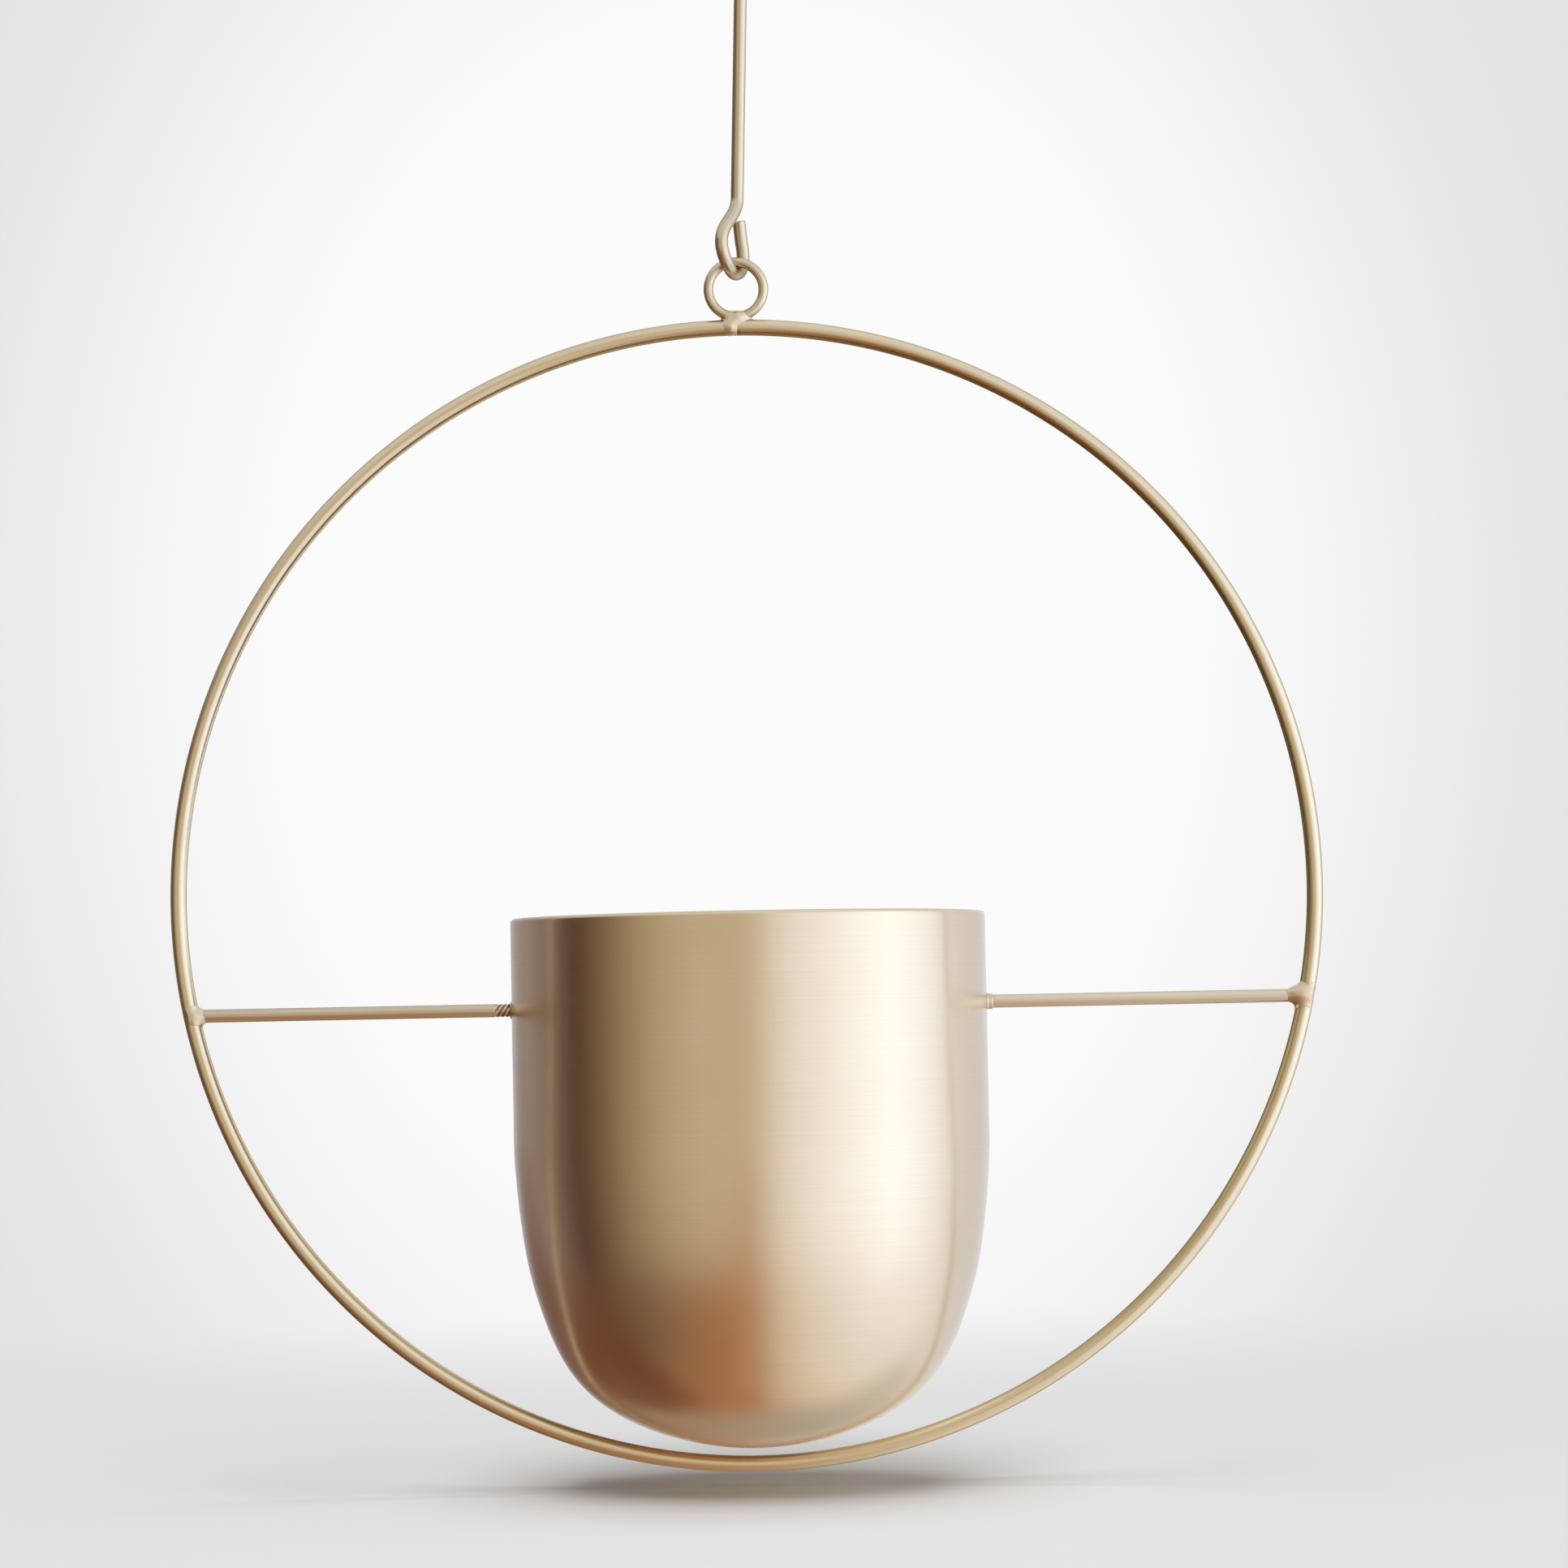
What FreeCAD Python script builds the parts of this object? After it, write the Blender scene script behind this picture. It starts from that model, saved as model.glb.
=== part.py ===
import FreeCAD, Part
import math
import os

# Hanging brass planter: a round pot held by two arms across a wire hoop, hung by
# a welded eye from a long wire hanger. Millimetres, +Z up, +Y away from the
# viewer, +X to the right along the arms. The origin is the bearing point inside
# the hanger's upper hook, where the planter rests on a ceiling hook or a rail.

Vector = FreeCAD.Vector
ORIGIN = Vector(0, 0, 0)
X_AXIS, Y_AXIS, Z_AXIS = Vector(1, 0, 0), Vector(0, 1, 0), Vector(0, 0, 1)

# ---- driving dimensions; every *_DZ is a height above the hoop centre ----
HOOP_R = 175.0            # hoop centreline radius
HOOP_WIRE_R = 2.5
HOOP_BUTT_GAP = 0.30      # gap between the two butted hoop ends, at the top
EYE_R = 8.5               # eye centreline radius
EYE_WIRE_R = 1.5
EYE_DZ = 186.9
LUMP_RADII = (4.3, 3.0, 3.8)   # solder lump's half sizes in x, y and z
LUMP_RISE = 2.1           # lump centre above the hoop's top centreline
HANGER_WIRE_R = 2.0
HANGER_LENGTH = 150.0     # bearing point to bearing point
WIRE_END_CHAMFER = 0.3
WIRE_END_L = 1.0          # straight stub at each end of the hanger
SWING_GAP = 0.20          # play between the eye and the hanger at rest
ARM_DZ = -34.9
ARM_R = 2.0
ARM_CHAMFER = 0.04        # on the shoulder where the thread begins
THREAD_R = 1.95           # M4 thread on the arms' inner ends, drawn plain
THREAD_CHAMFER = 0.4
THREAD_TIP_X = 65.6       # arm tip's distance from the pot axis
LEFT_THREAD_SHOWN = 4.0   # bare thread left between the left arm and its boss
POT_R = 73.0              # outside radius of the straight wall
WALL = 1.2                # spun sheet
RIM_DZ = -7.0
HEM_T = 2.6               # folded rim, total thickness
HEM_H = 8.0               # folded rim, height
HEM_BEVEL = 0.5           # on the folded rim's lower edge
BOSS_R = 2.4
BOSS_FOOT_R = 3.1
BOSS_ROOT = 0.8           # profile's start inside the wall, before trimming
BOSS_BEVEL = 0.2
LEFT_BOSS_L = 0.6         # how far each boss stands off the wall
RIGHT_BOSS_L = 2.0
STUD_CLEAR = 0.06         # radial play of the pot on the arms
SEAL_R, SEAL_T = 4.6, 1.0
SEAL_GAP = 0.02           # between the seal and the wall
WASHER_R, WASHER_T = 4.4, 0.8
WASHER_CLEAR = 0.2        # radial, on the thread
NUT_AF, NUT_T = 7.0, 3.2  # M4 hexagon nut, across flats and thickness
NUT_GAP = 0.02            # between the nut and the washer
NUT_CLEAR = 0.005         # radial, on the thread
NUT_CONE_L = 6.0          # cones that bevel the nut's corners
NUT_CONE_R = NUT_AF / 2 + 0.05
NUT_CONE_WIDE_R = NUT_AF / 2 + 3.5
STACK_GAP = 0.05          # between neighbouring pieces on an arm
CUT_CLEAR = 0.01          # growth of a piece when it trims its neighbour

# ---- derived places ----
# The pivot is the hanger's centreline at the bottom of its lower hook.
PIVOT_DZ = EYE_DZ + EYE_R - EYE_WIRE_R - HANGER_WIRE_R - SWING_GAP
Z_HOOP = -(PIVOT_DZ + HANGER_WIRE_R + HANGER_LENGTH)
Z_PIVOT = Z_HOOP + PIVOT_DZ
Z_ARM = Z_HOOP + ARM_DZ
Z_RIM = Z_HOOP + RIM_DZ
BORE_R = ARM_R + STUD_CLEAR
ARM_REACH = math.sqrt(HOOP_R ** 2 - ARM_DZ ** 2)   # where an arm meets the hoop

# ---- measured curves ----
LOWER_SHANK = Vector(0.95, 0.0, Z_HOOP + 215.5)
UPPER_SHANK = Vector(4.45, 0.0, Z_HOOP + 318.0)

# Hanger centreline below the shank: x, y, height above the pivot.
LOWER_HOOK = [
    (-0.05, -1.9, 19.2), (-2.15, -5.5, 15.2), (-3.95, -8.6, 10.9),
    (-4.05, -9.0, 7.0), (-2.75, -6.9, 2.9), (0.0, 0.0, 0.0),
    (1.95, 4.9, 2.3), (2.45, 6.3, 6.2), (2.00, 5.7, 11.2), (1.45, 4.8, 16.3),
]
# Hanger centreline above the shank, in the plane y = 0: x, z.
UPPER_HOOK = [
    (6.5, -18.2), (8.9, -11.8), (8.6, -5.2), (5.0, HANGER_WIRE_R - 1.35),
    (0.0, HANGER_WIRE_R), (-5.0, HANGER_WIRE_R - 1.6),
    (-7.9, -5.8), (-7.6, -11.2), (-6.4, -16.6),
]
LOWER_SPANS, UPPER_SPANS = 12, 9   # pairs of arcs that follow each hook

# Weld collar's outline: x, radius about the arm axis.
COLLAR_OUTLINE = [
    (165.2, 2.01), (165.7, 2.35), (167.2, 2.55), (169.0, 2.8),
    (170.4, 3.15), (171.6, 3.6), (173.2, 3.5), (174.2, 2.01),
]
# Pot's outside below the straight wall: radius, height above the hoop centre.
POT_OUTLINE = [
    (POT_R, -75.0), (72.62, -85.0), (71.20, -100.0), (68.75, -115.0),
    (64.35, -130.0), (60.15, -140.0), (53.6, -149.8), (46.0, -156.6),
    (35.8, -162.4), (24.5, -166.5), (12.5, -169.15), (0.0, -170.0),
]
INNER_SPANS = 16          # samples of the outside that are offset to the inside


# ---- helpers ----
def export(shape, name):
    if not shape.isValid():
        shape.fix(1e-4, 1e-5, 1e-3)
    solids = shape.Solids
    assert solids and all(s.isValid() and s.Volume > 0 for s in solids), name
    shape = solids[0] if len(solids) == 1 else Part.makeCompound(solids)
    shape.exportStep("parts/%s.step" % name)


def mirror_x(shape):
    return shape.mirror(ORIGIN, X_AXIS)


def without_slivers(shape, min_volume=0.5):
    solids = [s for s in shape.Solids if s.Volume > min_volume]
    return solids[0] if len(solids) == 1 else Part.makeCompound(solids)


def ring(radius, wire_radius, z):
    """Torus standing in the XZ plane."""
    return Part.makeTorus(radius, wire_radius, Vector(0, 0, z), Y_AXIS)


def arm_cylinder(radius, x, length):
    """Cylinder on the arm axis, running towards +X from x."""
    return Part.makeCylinder(radius, length, Vector(x, 0, Z_ARM), X_AXIS)


def turned_on_arm(outline):
    """Closed outline of (x, radius) points, turned about the arm axis."""
    points = [Vector(x, 0, radius) for x, radius in outline + outline[:1]]
    body = Part.Face(Part.makePolygon(points)).revolve(ORIGIN, X_AXIS, 360)
    body.translate(Vector(0, 0, Z_ARM))
    return body


def spline(points, start_tangent, end_tangent):
    curve = Part.BSplineCurve()
    curve.interpolate(Points=points, InitialTangent=start_tangent, FinalTangent=end_tangent)
    return curve


hoop_tool = ring(HOOP_R, HOOP_WIRE_R + CUT_CLEAR, Z_HOOP)


# ---- hoop: one length of round wire, its ends butted at the top ----
def make_hoop():
    gap_angle = math.degrees(HOOP_BUTT_GAP / HOOP_R)
    circle = Part.makeCircle(HOOP_WIRE_R, Vector(0, 0, HOOP_R), X_AXIS)
    hoop = Part.Face(Part.Wire(circle)).revolve(ORIGIN, Y_AXIS, 360 - gap_angle)
    hoop.rotate(ORIGIN, Y_AXIS, gap_angle / 2)
    hoop.translate(Vector(0, 0, Z_HOOP))
    return hoop.Solids[0]


# ---- eye: closed ring of thinner wire, seated on the hoop ----
def make_eye():
    return without_slivers(ring(EYE_R, EYE_WIRE_R, Z_HOOP + EYE_DZ).cut(hoop_tool))


# ---- lump of hard solder that joins the eye to the hoop and closes its butt ----
def make_eye_weld():
    stretch = FreeCAD.Matrix()
    stretch.scale(*LUMP_RADII)
    lump = Part.makeSphere(1.0).transformGeometry(stretch)
    lump.translate(Vector(0, 0, Z_HOOP + HOOP_R + LUMP_RISE))
    eye_tool = ring(EYE_R, EYE_WIRE_R + CUT_CLEAR, Z_HOOP + EYE_DZ)
    return without_slivers(lump.cut(hoop_tool).cut(eye_tool), min_volume=0.2)


# ---- hanger: one length of round wire with a hook at each end ----
def bend(section, start, tangent, end):
    """Wire from start, where it runs along tangent, to end, as one arc.

    Returns the solid, the section at the end and the tangent there.
    """
    chord = end.sub(start)
    along = chord.dot(tangent)
    side = chord.sub(tangent * along)
    if side.Length < 1e-4 * chord.Length:
        return section.extrude(chord), section.translated(chord), tangent
    side.normalize()
    radius = chord.dot(chord) / (2 * chord.dot(side))
    centre = start.add(side * radius)
    axis = tangent.cross(side)
    angle = 2 * math.degrees(math.atan2(chord.dot(side), along))
    piece = section.revolve(centre, axis, angle)
    moved = section.copy()
    moved.rotate(centre, axis, angle)
    return piece, moved, FreeCAD.Rotation(axis, angle).multVec(tangent)


def biarc_joint(start, start_tangent, end, end_tangent):
    """Point where two arcs, tangent at the ends and to each other, meet."""
    chord, tangent_sum = end.sub(start), start_tangent.add(end_tangent)
    turn = 2 * (1 - start_tangent.dot(end_tangent))
    if turn < 1e-9:
        return start.add(chord * 0.5)
    along = chord.dot(tangent_sum)
    reach = (-along + math.sqrt(along ** 2 + turn * chord.dot(chord))) / turn
    return (start.add(end).add(start_tangent.sub(end_tangent) * reach)) * 0.5


def bent_wire(edge, spans):
    """Round wire along an edge, as tangent arcs; also its end point and tangent."""
    curve = edge.Curve

    def sample(distance):
        parameter = curve.parameterAtDistance(distance, curve.FirstParameter)
        return curve.value(parameter), curve.tangent(parameter)[0]

    point, tangent = sample(0.0)
    section = Part.Face(Part.Wire(Part.makeCircle(HANGER_WIRE_R, point, tangent)))
    pieces = []
    for i in range(1, spans + 1):
        # Stop just short of the end so the last sample stays on the curve.
        end, end_tangent = sample(min(edge.Length * i / spans, edge.Length - 1e-6))
        joint = biarc_joint(point, tangent, end, end_tangent)
        for target in (joint, end):
            piece, section, tangent = bend(section, point, tangent, target)
            pieces.append(piece)
            point = target
        tangent = end_tangent
    return pieces, point, tangent


def wire_end(point, tangent):
    """Short stub with its free end chamfered."""
    stub = Part.makeCylinder(HANGER_WIRE_R, WIRE_END_L, point, tangent)
    tip = point.add(tangent * WIRE_END_L)
    rim = [e for e in stub.Edges if e.Closed and e.CenterOfMass.distanceToPoint(tip) < 0.01]
    return stub.makeChamfer(WIRE_END_CHAMFER, rim)


def make_hanger():
    lean = UPPER_SHANK.sub(LOWER_SHANK)
    lean.normalize()
    lower_points = [LOWER_SHANK] + [Vector(x, y, Z_PIVOT + z) for x, y, z in LOWER_HOOK]
    upper_points = [UPPER_SHANK] + [Vector(x, 0, z) for x, z in UPPER_HOOK]
    lower = spline(lower_points, lean * -1, Vector(-0.09, -0.2, 1.0)).toShape()
    upper = spline(upper_points, lean, Vector(0.25, 0.0, -1.0)).toShape()
    lower_pieces, lower_end, lower_tangent = bent_wire(lower, LOWER_SPANS)
    upper_pieces, upper_end, upper_tangent = bent_wire(upper, UPPER_SPANS)
    ends = [wire_end(lower_end, lower_tangent), wire_end(upper_end, upper_tangent)]
    length = UPPER_SHANK.distanceToPoint(LOWER_SHANK)
    shank = Part.makeCylinder(HANGER_WIRE_R, length, LOWER_SHANK, lean)
    return without_slivers(shank.multiFuse(lower_pieces + upper_pieces + ends))


# ---- arms: threaded at the pot, coped over the hoop wire ----
def chamfer_at(cylinder, x, size):
    """Chamfer the end circle of an arm cylinder that lies at x."""
    circle = [e for e in cylinder.Edges if abs(e.CenterOfMass.x - x) < 0.01]
    return cylinder.makeChamfer(size, circle)


def make_arm(shoulder_x):
    plain = arm_cylinder(ARM_R, shoulder_x, ARM_REACH - shoulder_x)
    plain = chamfer_at(plain, shoulder_x, ARM_CHAMFER)
    stud = arm_cylinder(THREAD_R, THREAD_TIP_X, shoulder_x - THREAD_TIP_X)
    stud = chamfer_at(stud, THREAD_TIP_X, THREAD_CHAMFER)
    return without_slivers(plain.fuse(stud).removeSplitter().cut(hoop_tool))


# ---- weld collar where each arm meets the hoop ----
def make_arm_weld():
    inside_hoop = Part.makeCylinder(HOOP_R + 0.2, 12, Vector(0, -6, Z_HOOP), Y_AXIS)
    weld = turned_on_arm(COLLAR_OUTLINE).common(inside_hoop).cut(hoop_tool)
    return max(weld.Solids, key=lambda s: s.Volume)


# ---- pot: spun from one sheet, the rim folded inwards ----
def make_pot():
    outer_points = [Vector(x, 0, Z_HOOP + z) for x, z in POT_OUTLINE]
    outer = spline(outer_points, Z_AXIS * -1, X_AXIS * -1)
    wall_foot, bottom = outer_points[0], outer_points[-1]
    inner_wall_foot = wall_foot - X_AXIS * WALL
    inner_bottom = bottom + Z_AXIS * WALL

    # The inside is the outside offset by the wall, with its ends set exactly.
    inner_points = [inner_wall_foot]
    span = (outer.LastParameter - outer.FirstParameter) / INNER_SPANS
    for i in range(1, INNER_SPANS):
        parameter = outer.FirstParameter + span * i
        point, tangent = outer.value(parameter), outer.tangent(parameter)[0]
        inner_points.append(point + Vector(tangent.z, 0, -tangent.x) * WALL)
    inner_points.append(inner_bottom)
    inner = spline(inner_points[::-1], X_AXIS, Z_AXIS)

    fold_r = HEM_T / 2
    fold_z = Z_RIM - fold_r
    hem_x = POT_R - HEM_T
    hem_z = Z_RIM - HEM_H
    wall_top = Vector(POT_R, 0, fold_z)
    hem_top = Vector(hem_x, 0, fold_z)
    inside = Part.makePolygon([
        inner_wall_foot,
        Vector(POT_R - WALL, 0, hem_z - HEM_BEVEL),
        Vector(hem_x + HEM_BEVEL, 0, hem_z),
        Vector(hem_x, 0, hem_z + HEM_BEVEL),
        hem_top,
    ])
    edges = [
        outer.toShape(),
        Part.makeLine(bottom, inner_bottom),
        inner.toShape(),
        *inside.Edges,
        Part.Arc(wall_top, Vector(POT_R - fold_r, 0, Z_RIM), hem_top).toShape(),
        Part.makeLine(wall_top, wall_foot),
    ]
    profile = Part.Wire(Part.__sortEdges__(edges))
    pot = Part.Face(profile).revolve(ORIGIN, Z_AXIS, 360).Solids[0]
    return without_slivers(pot.cut(arm_cylinder(BORE_R, -100, 200)))


# ---- boss soldered outside the wall at each arm ----
def make_boss(length):
    root_x, end_x = POT_R - BOSS_ROOT, POT_R + length
    outline = [
        (root_x, BORE_R), (root_x, BOSS_FOOT_R),
        (POT_R + 0.12, BOSS_FOOT_R), (POT_R + 0.32, BOSS_R + 0.2),
    ]
    if length > 1.0:   # only a long boss has room for a straight barrel
        outline += [(POT_R + 0.65, BOSS_R), (end_x - BOSS_BEVEL, BOSS_R)]
    outline += [(end_x, BOSS_R - BOSS_BEVEL), (end_x, BORE_R)]
    wall_tool = Part.makeCylinder(POT_R + CUT_CLEAR, 60, Vector(0, 0, Z_ARM - 30))
    return without_slivers(turned_on_arm(outline).cut(wall_tool))


# ---- seal, washer and nut inside the wall, each placed by its outer face ----
SEAL_X = math.sqrt((POT_R - WALL) ** 2 - SEAL_R ** 2) - SEAL_GAP
WASHER_X = SEAL_X - SEAL_T - STACK_GAP
NUT_X = WASHER_X - WASHER_T - NUT_GAP


def make_disc(outer_x, radius, thickness, bore):
    inner_x = outer_x - thickness
    hole = arm_cylinder(bore, inner_x - 1, thickness + 2)
    return arm_cylinder(radius, inner_x, thickness).cut(hole)


def make_nut():
    inner_x = NUT_X - NUT_T
    corner_r = NUT_AF / math.sqrt(3)
    angles = [math.radians(degrees) for degrees in range(30, 391, 60)]
    hexagon = Part.makePolygon([
        Vector(inner_x, corner_r * math.cos(angle), corner_r * math.sin(angle))
        for angle in angles
    ])
    nut = Part.Face(hexagon).extrude(X_AXIS * NUT_T)
    nut = nut.common(Part.makeCone(
        NUT_CONE_R, NUT_CONE_WIDE_R, NUT_CONE_L, Vector(inner_x, 0, 0), X_AXIS))
    nut = nut.common(Part.makeCone(
        NUT_CONE_WIDE_R, NUT_CONE_R, NUT_CONE_L, Vector(NUT_X - NUT_CONE_L, 0, 0), X_AXIS))
    nut.translate(Vector(0, 0, Z_ARM))
    return nut.cut(arm_cylinder(THREAD_R + NUT_CLEAR, NUT_X - 15, 30))


# ---- build and export ----
os.makedirs("parts", exist_ok=True)

export(make_hanger(), "hanger_rod")
export(make_hoop(), "hoop")
export(make_eye(), "eye_ring")
export(make_eye_weld(), "eye_weld")
export(make_pot(), "pot_shell")

# The two sides differ only in their arms and bosses; the left is at -X.
export(mirror_x(make_arm(POT_R + LEFT_BOSS_L + LEFT_THREAD_SHOWN)), "left_arm")
export(make_arm(POT_R + RIGHT_BOSS_L + STACK_GAP), "right_arm")
export(mirror_x(make_boss(LEFT_BOSS_L)), "left_boss")
export(make_boss(RIGHT_BOSS_L), "right_boss")

paired = {
    "arm_weld": make_arm_weld(),
    "seal": make_disc(SEAL_X, SEAL_R, SEAL_T, BORE_R),
    "washer": make_disc(WASHER_X, WASHER_R, WASHER_T, THREAD_R + WASHER_CLEAR),
    "nut": make_nut(),
}
for name, shape in paired.items():
    export(mirror_x(shape), "left_" + name)
    export(shape, "right_" + name)
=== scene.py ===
import math
import random

import bmesh
import bpy
import numpy as np
from mathutils import Matrix, Vector, noise


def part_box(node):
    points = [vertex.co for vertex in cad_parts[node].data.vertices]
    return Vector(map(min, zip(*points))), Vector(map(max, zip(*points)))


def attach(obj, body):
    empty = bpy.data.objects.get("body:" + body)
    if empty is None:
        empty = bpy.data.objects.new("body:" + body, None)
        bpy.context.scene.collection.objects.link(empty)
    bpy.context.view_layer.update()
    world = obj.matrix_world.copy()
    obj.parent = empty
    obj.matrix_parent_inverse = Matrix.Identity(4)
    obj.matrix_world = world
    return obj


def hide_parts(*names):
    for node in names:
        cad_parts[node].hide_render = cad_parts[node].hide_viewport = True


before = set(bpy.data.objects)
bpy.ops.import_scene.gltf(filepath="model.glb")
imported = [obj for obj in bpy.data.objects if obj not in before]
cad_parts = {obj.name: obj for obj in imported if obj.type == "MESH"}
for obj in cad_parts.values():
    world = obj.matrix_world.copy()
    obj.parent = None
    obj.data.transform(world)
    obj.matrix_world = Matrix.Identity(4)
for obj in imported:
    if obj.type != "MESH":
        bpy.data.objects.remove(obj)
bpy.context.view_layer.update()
random.seed(7)  # fixed, so that every build is the same


# ------------------------------------------------------------------ places and sizes
def middle_z(node):
    low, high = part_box(node)
    return (low.z + high.z) / 2


MM = 0.001
HOOP_Z = middle_z("hoop")  # metres
ARM_Z = middle_z("right_arm")  # metres

HOOP_RADIUS, HOOP_WIRE = 175.0, 2.5  # wires by radius
EYE_RADIUS, EYE_WIRE = 8.5, 1.5
ARM_WIRE = 2.0
POT_RADIUS = 73.0

ARM_DZ = (ARM_Z - HOOP_Z) / MM
RIM_DZ = (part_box("pot_shell")[1].z - HOOP_Z) / MM
EYE_DZ = (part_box("eye_ring")[1].z - HOOP_Z) / MM - (EYE_RADIUS + EYE_WIRE)
# distances from the pot's axis
ARM_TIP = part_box("right_arm")[0].x / MM
RIGHT_BOSS_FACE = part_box("right_boss")[1].x / MM
LEFT_BOSS_FACE = -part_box("left_boss")[0].x / MM


# ------------------------------------------------------------------ shader tools
class ShaderTree:
    """Short hand for adding nodes to a tree. Inputs take plain values or sockets."""

    def __init__(self, tree):
        self.tree = tree

    def link(self, source, target):
        self.tree.links.new(source, target)

    def new(self, kind, inputs=None, **settings):
        node = self.tree.nodes.new(kind)
        for name, value in settings.items():
            setattr(node, name, value)
        for name, value in (inputs or {}).items():
            if isinstance(value, bpy.types.NodeSocket):
                self.link(value, node.inputs[name])
            else:
                node.inputs[name].default_value = value
        return node

    def noise(self, vector, scale, detail, roughness, distortion=0.0):
        return self.new("ShaderNodeTexNoise", {
            "Scale": scale, "Detail": detail, "Roughness": roughness,
            "Distortion": distortion, "Vector": vector}).outputs["Fac"]

    def ramp(self, value, stops):
        """Colour ramp through (position, grey or colour) stops."""
        node = self.new("ShaderNodeValToRGB", {0: value})
        elements = node.color_ramp.elements
        while len(elements) < len(stops):
            elements.new(0.5)
        for element, (position, c) in zip(elements, stops):
            element.position = position
            element.color = (c, c, c, 1) if isinstance(c, (int, float)) else (*c, 1)
        return node.outputs[0]

    def fade(self, value, zero, one):
        """Straight run from 0 where value is `zero` to 1 where it is `one`."""
        return self.ramp(value, sorted([(zero, 0.0), (one, 1.0)]))

    def smooth(self, value, zero, one):
        """As fade, but with soft ends and for any range."""
        return self.new("ShaderNodeMapRange", {
            "From Min": zero, "From Max": one, "Value": value},
            interpolation_type="SMOOTHSTEP").outputs[0]

    def between(self, value, low, high):
        return self.new("ShaderNodeMapRange", {
            "To Min": low, "To Max": high, "Value": value}).outputs[0]

    def math(self, operation, a, b=0.0, clamp=False):
        return self.new("ShaderNodeMath", {0: a, 1: b},
                        operation=operation, use_clamp=clamp).outputs[0]

    def plus(self, a, b, clamp=False):
        return self.math("ADD", a, b, clamp)

    def minus(self, a, b, clamp=False):
        return self.math("SUBTRACT", a, b, clamp)

    def times(self, a, b, clamp=False):
        return self.math("MULTIPLY", a, b, clamp)

    def length(self, a, b):
        return self.math("SQRT", self.plus(self.times(a, a), self.times(b, b)))

    def mix(self, amount, a, b, mode="MIX"):
        a, b = ((*c, 1) if isinstance(c, tuple) else c for c in (a, b))
        return self.new("ShaderNodeMix", {0: amount, 6: a, 7: b},
                        data_type="RGBA", blend_type=mode).outputs[2]

    def separate(self, vector):
        return self.new("ShaderNodeSeparateXYZ", {0: vector}).outputs[0:3]

    def combine(self, x, y, z):
        return self.new("ShaderNodeCombineXYZ", {0: x, 1: y, 2: z}).outputs[0]

    def dot(self, vector, direction):
        return self.new("ShaderNodeVectorMath", {1: Vector(direction).normalized(), 0: vector},
                        operation="DOT_PRODUCT").outputs["Value"]

    def bump(self, height, strength, distance, normal=None):
        inputs = {"Strength": strength, "Distance": distance, "Height": height}
        if normal is not None:
            inputs["Normal"] = normal
        return self.new("ShaderNodeBump", inputs).outputs[0]

    def crevices(self, reach, full, none):
        """Mask for painted shade: 1 in narrow places, 0 in the open; full and none are levels of
        open sky.
        """
        sky = self.new("ShaderNodeAmbientOcclusion", {"Distance": reach}, samples=4)
        return self.fade(sky.outputs["AO"], zero=none, one=full)


class Material(ShaderTree):
    """A new material with one Principled shader, patterned in object coordinates."""

    def __init__(self, name):
        self.material = bpy.data.materials.new(name)
        self.material.use_nodes = True
        super().__init__(self.material.node_tree)
        self.tree.nodes.clear()
        self.out = self.new("ShaderNodeOutputMaterial")
        self.bsdf = self.new("ShaderNodeBsdfPrincipled")
        self.link(self.bsdf.outputs[0], self.out.inputs[0])
        self.place = self.new("ShaderNodeTexCoord").outputs["Object"]

    def shifted(self, offset=(0, 0, 0)):
        return self.new("ShaderNodeMapping", {"Location": offset, "Vector": self.place}).outputs[0]

    def surface(self, colour, roughness, normal, metallic=0.0):
        self.link(colour, self.bsdf.inputs["Base Color"])
        self.link(roughness, self.bsdf.inputs["Roughness"])
        self.link(normal, self.bsdf.inputs["Normal"])
        self.bsdf.inputs["Metallic"].default_value = metallic
        return self.material


# ------------------------------------------------------------------ brass
# stretch of the line pattern on x, y and z: a low number is the way the lines run
SPUN = (6.0, 6.0, 2600.0)
SPUN_COARSE = (6.0, 6.0, 1500.0)
ALONG_X = (18.0, 1500.0, 1500.0)
ALONG_Z = (1500.0, 1500.0, 18.0)
ROUND_HOOP = None  # worked out from the angle round the hoop
HOOP_STRETCH = (3.0, 1500.0)  # per radian round the hoop, per metre across the wire

# painted shade: brown laid into narrow places
CREVICE_SHADE_BROWN = (0.20, 0.105, 0.045)
PALE_EDGE = (0.97, 0.87, 0.68)
# painted shade where a wire turns away from the eye
RIM_SHADE_BROWN = (0.27, 0.19, 0.105)
# painted shade on the hoop's inner side
INNER_SHADE_TINT = (0.64, 0.62, 0.50)
SPECULAR_TINT = (0.62, 0.52, 0.38, 1)


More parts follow.
